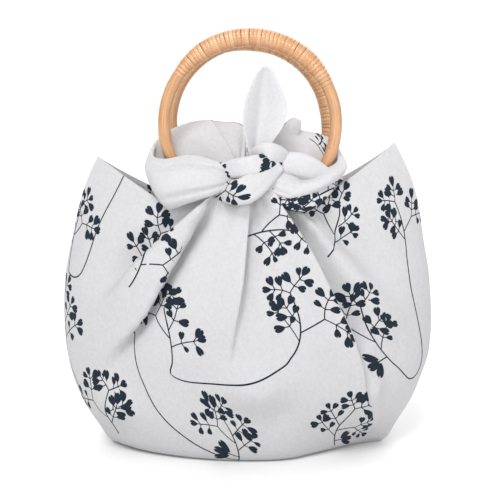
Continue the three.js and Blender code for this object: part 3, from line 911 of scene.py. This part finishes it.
BACK_SPRIGS = [
    Sprig(-116, 128, -20, 62, 28, 22),
    Sprig(-62, 60, 30, 64, -30, 23),
    Sprig(-8, 14, -18, 66, 26, 24),
    Sprig(30, 112, 24, 62, -36, 25),
    Sprig(84, 36, 10, 62, 24, 26),
    Sprig(120, 128, -28, 60, 30, 27),
    Sprig(138, 56, 22, 60, -24, 28),
    Sprig(92, 188, 68, 62, 12, 29),
    Sprig(-96, 192, -62, 62, -12, 33),
]
BACK_RUNNERS = [
    [(-8, 14), (-40, 30), (-56, 44), (-62, 60)],
    [(84, 36), (66, 70), (44, 90), (30, 112)],
    [(138, 56), (140, 90), (128, 110), (120, 128)],
]


def around_from(steps, middle):
    """Distance round each row from one column, below zero on its left."""
    rolled = np.roll(steps, -middle, axis=1)
    distance = np.cumsum(rolled, axis=1) - rolled
    total = np.sum(steps, axis=1, keepdims=True)
    return np.roll(np.where(distance > total / 2, distance - total, distance), middle, axis=1)


def on_all_vertices(grid, base_grid, spare):
    """Values of the wall and the base in the order of the bag's vertices, the lining after the outside."""
    both = np.concatenate([base_grid, grid])
    thinned = np.concatenate([part[::LINING_STEP, ::LINING_STEP] for part in (base_grid, grid)])
    width = grid.shape[-1]
    return np.concatenate([both.reshape(-1, width), thinned.reshape(-1, width), np.full((2, width), spare)])


CLIMB_ENDS = 261


def flat_of_bag(middle):
    """Flat places of all vertices of the bag, measured from one column."""
    steps = np.linalg.norm(np.roll(plain, -1, axis=1)[..., :2] - plain[..., :2], axis=-1)
    heights = np.arange(CLIMB_ENDS)
    depth = column_at(SECTIONS, "depth", np.minimum(heights, SECTIONS[-1].z))
    climb = np.concatenate([[0], np.cumsum(np.hypot(1, np.diff(depth)))])
    flat = laps + np.stack([around_from(steps, middle), np.interp(plain[..., 2], heights, climb)], axis=-1)
    under = np.linalg.norm(wall[0, :, :2], axis=-1)
    flat_base = np.stack([flat[0, :, 0] * base_shares[:, None], (base_shares[:, None] - 1) * under], axis=-1)
    return on_all_vertices(flat, flat_base, np.nan)


def hidden_in_folds(folds, corners):
    """How much cloth lies out of sight between each face and the bag's left, as a shift of the print."""
    shift = np.zeros(corners.shape[:2] + (2,))
    middles = corners.mean(axis=1)
    for fold in folds:
        on_right = fold_lines(fold, middles[:, 0], middles[:, 2]).across > 0
        strength = fold_lines(fold, corners[..., 0], corners[..., 2]).strength
        shift[..., 0] += fold.hidden * strength * on_right[:, None]
    return shift


def face_areas(places):
    """Twice the area of each face of the bag, in space or on the flat cloth."""
    one_way = places[bag_corners[:, 2]] - places[bag_corners[:, 0]]
    other_way = places[bag_corners[:, 3]] - places[bag_corners[:, 1]]
    return np.linalg.norm(np.cross(one_way, other_way), axis=-1)


PRINT_STRETCH = 2.6
FAR_OFF = 1e6


def left_bare(flat):
    """A far shift for faces that are drawn out on the steep sides of folds, where the print would smear."""
    drawn_out = face_areas(bag_points) > PRINT_STRETCH * face_areas(np.pad(flat, ((0, 0), (0, 1))))
    return FAR_OFF * drawn_out[:, None, None]


bag_corners = np.array([(face * 2)[:4] for face in bag_faces])
plain_points = on_all_vertices(plain, base, 0.0)
corners = plain_points[bag_corners]
on_front = np.where(corners.mean(axis=1)[:, None, 1:2] < 0, 1, 0)
front_shift = hidden_in_folds(FRONT_FOLDS, corners)
back_shift = hidden_in_folds(BACK_FOLDS, corners * half_turn) * (1 - on_front) + FAR_OFF * on_front
front_flat = flat_of_bag(0)
back_flat = flat_of_bag(AROUND // 2)
front_print = (front_flat, front_shift + left_bare(front_flat), motifs_of(FRONT_SPRIGS, FRONT_RUNNERS))
back_print = (back_flat, back_shift + left_bare(back_flat), motifs_of(BACK_SPRIGS, BACK_RUNNERS))
print_on(bag, [front_print, back_print])


# The strands: the gathered corners of the square. Each leaves the neck, passes over the ring's lowest arc
# and out behind the ring, and turns round its side. It comes forward to the knot as a broad, puffed band
# with a rolled rim.
RING_OFFSET = 42
STRAND_AXIS = 50
TIE_RISE = 2.5
LEFT_CUT = (190, 50)
RIGHT_CUT = (165, 40)
FLAP_CUT = (88, 42)
STRAND_STEPS = 150
STRAND_SIDES = 64
ROUNDED_EDGE = 0.6
CURL_STARTS_AT = 0.66
CREASE_ENDS = 0.7
Row = namedtuple("Row", "low high bulge thick curl")
LEFT_STRAND = [
    Row((-4, -59, 206), (-4, -57, 226), 0, 5, 0),
    Row((-12, -44, 208), (-3, -25, 255), -1, 4, 0),
    Row((-30, -31, 206), (-26, -12, 260), -5, 4, -5),
    Row((-52, -28, 203), (-46, -11, 260), -5, 4, -6),
    Row((-68, -31, 200), (-70, -23, 249), 2, 5, -2),
    Row((-66, -46, 198), (-82, -44, 236), 3, 6, 4),
    Row((-62, -60, 195), (-70, -58, 233), 7, 7, 5),
    Row((-46, -68, 200), (-46, -62, 236), 8, 7, 6),
    Row((-28, -71, 206), (-28, -66, 234), 6, 6, 4),
    Row((-10, -68, 213), (-10, -64, 227), 2, 6, 0),
]
RIGHT_STRAND = [
    Row((4, -59, 206), (4, -57, 226), 0, 5, 0),
    Row((12, -44, 208), (8, -28, 250), -1, 4, 0),
    Row((30, -31, 206), (27, -13, 255), -5, 4, -5),
    Row((52, -28, 206), (47, -11, 252), -5, 4, -6),
    Row((66, -31, 210), (64, -23, 246), 2, 5, -2),
    Row((66, -46, 215), (74, -44, 232), 3, 6, 3),
    Row((58, -60, 212), (62, -58, 226), 5, 7, 3),
    Row((42, -68, 205), (40, -62, 218), 6, 7, 3),
    Row((27, -71, 204), (28, -65, 221), 5, 7, 2),
    Row((10, -68, 211), (11, -64, 227), 2, 6, 0),
]
# The layer that is folded over in front of the left strand's rear part, from the loop to the knot
LEFT_FLAP = [
    Row((-76, -38, 212), (-75, -33, 241), 1, 3, 0),
    Row((-66, -35, 210), (-66, -22, 250), -2, 2.4, -1),
    Row((-50, -34, 208), (-50, -15, 257), -5, 2.4, -2),
    Row((-34, -36, 208), (-37, -15, 260.5), -6, 2.4, -2),
    Row((-24, -39, 209), (-28, -19, 260), -6, 2.4, 0),
    Row((-16, -43, 211), (-20, -27, 248), -5, 2.4, 0),
    Row((-9, -48, 214), (-12, -35, 235), -3, 2.4, 0),
    Row((-4, -50, 216), (-4, -40, 224), 0, 2.4, 0),
]
# A crease runs along a strand from one share of its length to another, at shares of the strand's width
Crease = namedtuple("Crease", "begin end at_begin at_end depth width")
LEFT_CREASES = [
    Crease(0.0, 0.34, 0.50, 0.86, 4.0, 0.08),
    Crease(0.06, 0.40, 0.26, 0.42, 2.2, 0.09),
    Crease(0.58, 1.04, 0.88, 0.64, 4.6, 0.045),
    Crease(0.72, 1.04, 0.54, 0.46, 2.6, 0.06),
    Crease(0.66, 1.04, 0.22, 0.27, 3.2, 0.05),
]
FLAP_CREASES = [Crease(0.2, 0.9, 0.9, 0.5, 2.2, 0.09), Crease(0.42, 1.0, 0.5, 0.3, 2.0, 0.08)]
RIGHT_CREASES = [
    Crease(0.0, 0.34, 0.50, 0.66, 3.0, 0.09),
    Crease(0.05, 0.30, 0.78, 0.88, 2.0, 0.07),
    Crease(0.74, 1.04, 0.60, 0.52, 2.6, 0.10),
    Crease(0.84, 1.04, 0.25, 0.32, 1.8, 0.09),
]
# Sprigs on the strands, by the distance along the strand and round it from its lower edge
LEFT_STRAND_SPRIGS = [Sprig(92, 88, 175, 30, 20, 31)]
RIGHT_STRAND_SPRIGS = [Sprig(66, 66, 110, 34, -20, 33)]


def squared(angle, power):
    """Cosine and sine of an angle, fuller towards the corners of the square around the circle."""
    c, s = np.cos(angle), np.sin(angle)
    return np.sign(c) * np.abs(c) ** power, np.sign(s) * np.abs(s) ** power


def strand_loops(rows, creases, axis_x):
    """Closed loops along a strand."""
    low, high, bulge, thick, curl = (curve_through(column, STRAND_STEPS) for column in zip(*rows))
    middle = (low + high) / 2
    out = np.stack([middle[:, 0] - axis_x, middle[:, 1] + RING_OFFSET, 0 * middle[:, 2]], axis=1)
    out /= np.linalg.norm(out, axis=1, keepdims=True)
    across, through = squared(np.linspace(0, 2 * np.pi, STRAND_SIDES, endpoint=False), ROUNDED_EDGE)
    across = (0.5 - 0.5 * across)[None, :]
    stand = bulge * 4 * across * (1 - across) + thick * (through[None, :] - 1) / 2
    stand = stand - curl * smooth_step(across, CURL_STARTS_AT, 1.0) ** 2
    share = np.linspace(0, 1, STRAND_STEPS)[:, None]
    for crease in creases:
        place = np.clip((share - crease.begin) / (crease.end - crease.begin), 0, 1)
        inside = np.sin(np.pi * place) ** CREASE_ENDS
        at = crease.at_begin + (crease.at_end - crease.at_begin) * place
        stand = stand - crease.depth * inside * np.exp(-((across - at) / crease.width) ** 2)
    return low[:, None] + (high - low)[:, None] * across[..., None] + out[:, None] * stand[..., None]


def lofted(name, loops, sprigs):
    """A piece of cloth through closed loops of equal count, shut at both ends."""
    steps, count = loops.shape[:2]
    faces = grid_faces(steps, count, 0)
    faces.append(list(range(count))[::-1])
    faces.append(list(range((steps - 1) * count, steps * count)))
    piece = cloth_piece(name, loops.reshape(-1, 3), faces)
    spine = loops.mean(axis=1)
    along = np.concatenate([[0], np.cumsum(np.linalg.norm(np.diff(spine, axis=0), axis=1))])
    steps_round = np.linalg.norm(np.diff(loops, axis=1), axis=2)
    around = np.concatenate([np.zeros((steps, 1)), np.cumsum(steps_round, axis=1)], axis=1)
    flat = np.stack([np.repeat(along[:, None], count, axis=1), around], axis=-1).reshape(-1, 2)
    print_on(piece, [(flat, np.zeros((len(faces), 1, 2)), motifs_of(sprigs, []))])
    return piece


def tie_piece(face_name, name, loops, cut, rests_on, sprigs=()):
    """One piece of the tie on one face: the tie at the back is the mirror image of the one in front."""
    loops = loops + np.array([0, 0, TIE_RISE])
    if face_name == "back":
        loops = loops[:, ::-1] * np.array([1, -1, 1])
    piece = lofted(f"{face_name}_{name}", loops, sprigs)


FACES = ("front", "back")
left_loops = strand_loops(LEFT_STRAND, LEFT_CREASES, -STRAND_AXIS)
right_loops = strand_loops(RIGHT_STRAND, RIGHT_CREASES, STRAND_AXIS)
flap_loops = strand_loops(LEFT_FLAP, FLAP_CREASES, -STRAND_AXIS)
for face_name in FACES:
    cane = f"cane_{face_name}"
    tie_piece(face_name, "left_strand", left_loops, LEFT_CUT, cane, LEFT_STRAND_SPRIGS)
    tie_piece(face_name, "right_strand", right_loops, RIGHT_CUT, cane, RIGHT_STRAND_SPRIGS)
    tie_piece(face_name, "left_flap", flap_loops, FLAP_CUT, f"{face_name}_left_strand")


# The knot on each face: the two strands wound over each other, pulled tight into soft rolls.
# One broad roll crosses low in front, a second lies above it, and a narrow collar closes it at the top.
ROLL_STEPS = 60
ROLL_SIDES = 72
ROUNDED_ROLL = 0.8
ROLL_END_SIZE = 0.62
RIDGE_TWIST = 1.1
RIDGE_POWER = 0.6
Roll = namedtuple("Roll", "name start over end radius flat ridges ridge_height cut sprigs")
LOW_SPRIGS = [Sprig(-27, 13, 90, 60, 0, 42)]
HIGH_SPRIGS = [Sprig(90, 10, -90, 60, 0, 45), Sprig(-44, 8, 90, 60, 0, 47)]
UNDER_SPRIGS = [Sprig(18 * i - 12, 9 + i % 3 * 4, 84, 48, 16 - 24 * (i % 2), 44 + 3 * i) for i in range(5)]
ROLLS = [
    Roll("low_roll", (-24, -59, 209), (-3, -77, 211), (21, -62, 229), 9.8, 0.62, 3, 0.06, (56, 24),
         LOW_SPRIGS),
    Roll("high_roll", (-24, -61, 225), (0, -74, 228), (23, -60, 233), 8.0, 0.55, 2, 0.06, (54, 20),
         HIGH_SPRIGS),
    Roll("collar_roll", (-1, -57, 233), (14, -68, 238), (31, -54, 230), 7.8, 0.42, 1, 0.03, (40, 18), []),
    Roll("inner_fold", (13, -57, 229), (38, -57, 228), (63, -51, 215), 9.5, 0.6, 1, 0.05, (56, 23), []),
    Roll("under_fold", (10, -62, 206), (41, -66, 201), (68, -45, 219), 6.5, 0.8, 2, 0.05, (68, 19),
         UNDER_SPRIGS),
]


def roll_loops(roll):
    """Closed loops along a roll of the knot, thinner at its two ends, with lengthwise ridges."""
    spine = curve_through([roll.start, roll.over, roll.end], ROLL_STEPS)
    onward = np.gradient(spine, axis=0)
    onward /= np.linalg.norm(onward, axis=1, keepdims=True)
    across = np.cross(np.array([0, -1, 0]), onward)
    across /= np.linalg.norm(across, axis=1, keepdims=True)
    lift = np.cross(onward, across)
    share = np.linspace(0, 1, ROLL_STEPS)[:, None]
    angle = np.linspace(0, 2 * np.pi, ROLL_SIDES, endpoint=False)[None, :]
    creased = np.abs(np.sin(roll.ridges * angle + RIDGE_TWIST * share)) ** RIDGE_POWER
    ridge = 1 + roll.ridge_height * (2 * creased - 1)
    size = roll.radius * (ROLL_END_SIZE + (1 - ROLL_END_SIZE) * np.sin(np.pi * share)) * ridge
    tall, deep = squared(angle, ROUNDED_ROLL)
    reach = (size * tall)[..., None] * across[:, None]
    return spine[:, None] + reach + (size * roll.flat * deep)[..., None] * lift[:, None]


for face_name in FACES:
    strand = f"{face_name}_left_strand"
    for roll in ROLLS:
        tie_piece(face_name, roll.name, roll_loops(roll), roll.cut, strand, roll.sprigs)


# The tied corners of the square: one stands up inside the ring as a cupped leaf, one peeps out behind it.
# Each is a single layer of cloth between its two hems.
TAIL_THICKNESS = 2.4
TAIL_CREASE = 0.42
CREASE_POWER = 1.4
CREASED_HOLLOW = 1.25
ROUND_HOLLOW = 0.2
TAIL_STEPS = 90
TAIL_SIDES = 64
UP_CUT = (32, 76)
BACK_CUT = (14, 30)
Leaf = namedtuple("Leaf", "left right hollow")
UP_TAIL = [
    Leaf((1, -63, 230), (10, -63, 230), 2),
    Leaf((-3, -62, 246), (17, -61, 246), 7),
    Leaf((-5.5, -60, 259), (25, -58, 258), 9),
    Leaf((-4.5, -57, 273), (28, -55, 272), 8),
    Leaf((0.3, -54, 287), (23, -53, 286), 5),
    Leaf((4.6, -52.5, 296), (18.4, -52, 296), 2.5),
    Leaf((9, -52, 301.5), (14.4, -52, 301.5), 0.5),
]
BACK_TAIL = [
    Leaf((18, -20, 236), (27, -20, 234), 0),
    Leaf((22, -16, 248), (35, -16, 246), -1),
    Leaf((26, -13, 256), (39.5, -13, 253.5), -2),
    Leaf((31.5, -12, 261.5), (40.5, -12, 259), -1),
    Leaf((36, -11.5, 263), (39.5, -11.5, 261.6), 0),
]


def tail_loops(rows):
    """Closed loops up a standing corner, hollow to the front."""
    left, right, hollow = (curve_through(column, TAIL_STEPS) for column in zip(*rows))
    across, through = squared(np.linspace(0, 2 * np.pi, TAIL_SIDES, endpoint=False), ROUNDED_EDGE)
    across = (0.5 - 0.5 * across)[None, :]
    valley = 1 - np.abs(across - TAIL_CREASE) / np.where(across < TAIL_CREASE, TAIL_CREASE, 1 - TAIL_CREASE)
    dip = ROUND_HOLLOW * 4 * across * (1 - across) + CREASED_HOLLOW * valley ** CREASE_POWER
    loops = left[:, None] + (right - left)[:, None] * across[..., None]
    loops[..., 1] += hollow * dip + TAIL_THICKNESS / 2 * through[None, :]
    return loops


for face_name in FACES:
    collar = f"{face_name}_collar_roll"
    strand = f"{face_name}_right_strand"
    tie_piece(face_name, "standing_corner", tail_loops(UP_TAIL), UP_CUT, collar)
    tie_piece(face_name, "hidden_corner", tail_loops(BACK_TAIL), BACK_CUT, strand)


# The stage: a plain pale floor with white behind it, a broad soft light from the upper left and weaker ones
# around. The camera stands a little above the bag, straight in front of it.
FLOOR_SIZE = 60
PALE = (0.95, 0.95, 0.95, 1)
bpy.ops.mesh.primitive_plane_add(size=FLOOR_SIZE, location=(0, 0, 0))
floor = bpy.context.object
floor.name = "floor"
bpy.ops.object.transform_apply(location=True, rotation=True, scale=True)
pale = Finish("pale_floor")
pale.feed(pale.surface, {"Base Color": PALE, "Roughness": 0.9, "Specular IOR Level": 0.1})
floor.data.materials.append(pale.material)

SKY_LIGHT = 0.36
WHITE_BEHIND = 1.05
world = bpy.data.worlds.new("studio")
bpy.context.scene.world = world
world.use_nodes = True
sky = world.node_tree.nodes["Background"]
sky.inputs["Color"].default_value = (1, 1, 1, 1)
seen = world.node_tree.nodes.new("ShaderNodeLightPath")
strength = world.node_tree.nodes.new("ShaderNodeMapRange")
strength.inputs["To Min"].default_value = SKY_LIGHT
strength.inputs["To Max"].default_value = WHITE_BEHIND
world.node_tree.links.new(seen.outputs["Is Camera Ray"], strength.inputs["Value"])
world.node_tree.links.new(strength.outputs["Result"], sky.inputs["Strength"])


Light = namedtuple("Light", "name from_left height spread power")
SOFT_LIGHTS = [
    Light("key", 16, 48, 22, 0.52),
    Light("top_light", 60, 84, 50, 0.225),
    Light("front_fill", 4, 3, 60, 0.125),
    Light("right_fill", -42, 5, 60, 0.27),
    Light("left_fill", 44, 4, 60, 0.12),
    Light("back_light", -155, 42, 60, 0.4),
    Light("back_fill", 160, 10, 60, 0.26),
]
SOFT_LIGHT_PLACE = (0, 0, 2)


def soft_light(light):
    """A broad light from far away, at angles in degrees, that falls evenly over bag and floor."""
    lamp = bpy.data.lights.new(light.name, "SUN")
    lamp.angle = math.radians(light.spread)
    lamp.energy = light.power * math.pi
    holder = bpy.data.objects.new(light.name, lamp)
    bpy.context.collection.objects.link(holder)
    holder.location = SOFT_LIGHT_PLACE
    holder.rotation_euler = (math.radians(90 - light.height), 0, math.radians(-light.from_left))


for light in SOFT_LIGHTS:
    soft_light(light)

# A small soft light on the tie
TIE_LIGHT_PLACE = (0, -0.8, 0.5)
TIE_LIGHT_AIM = (0.018, -0.045, 0.285)
TIE_LIGHT_CONE = 20
TIE_LIGHT_POWER = 11
TIE_LIGHT_RADIUS = 0.12
lamp = bpy.data.lights.new("tie_light", "SPOT")
lamp.energy = TIE_LIGHT_POWER
lamp.shadow_soft_size = TIE_LIGHT_RADIUS
lamp.spot_size = math.radians(TIE_LIGHT_CONE)
lamp.spot_blend = 1
holder = bpy.data.objects.new("tie_light", lamp)
bpy.context.collection.objects.link(holder)
holder.location = TIE_LIGHT_PLACE
holder.rotation_euler = (Vector(TIE_LIGHT_AIM) - holder.location).to_track_quat("-Z", "Y").to_euler()

CAMERA_DISTANCE = 0.908
CAMERA_HEIGHT = 0.278
CAMERA_LOOKS_DOWN = 7.45
FOCAL_PIXELS = 1133
FRAME_PIXELS = 500
SENSOR_WIDTH = 36
NEAREST_SEEN = 0.01
lens = bpy.data.cameras.new("camera")
lens.sensor_width = SENSOR_WIDTH
lens.lens = SENSOR_WIDTH * FOCAL_PIXELS / FRAME_PIXELS
lens.clip_start = NEAREST_SEEN
camera = bpy.data.objects.new("camera", lens)
bpy.context.collection.objects.link(camera)
camera.location = (0, -CAMERA_DISTANCE, CAMERA_HEIGHT)
camera.rotation_euler = (math.radians(90 - CAMERA_LOOKS_DOWN), 0, 0)
bpy.context.scene.camera = camera
bpy.context.scene.view_settings.view_transform = "Standard"
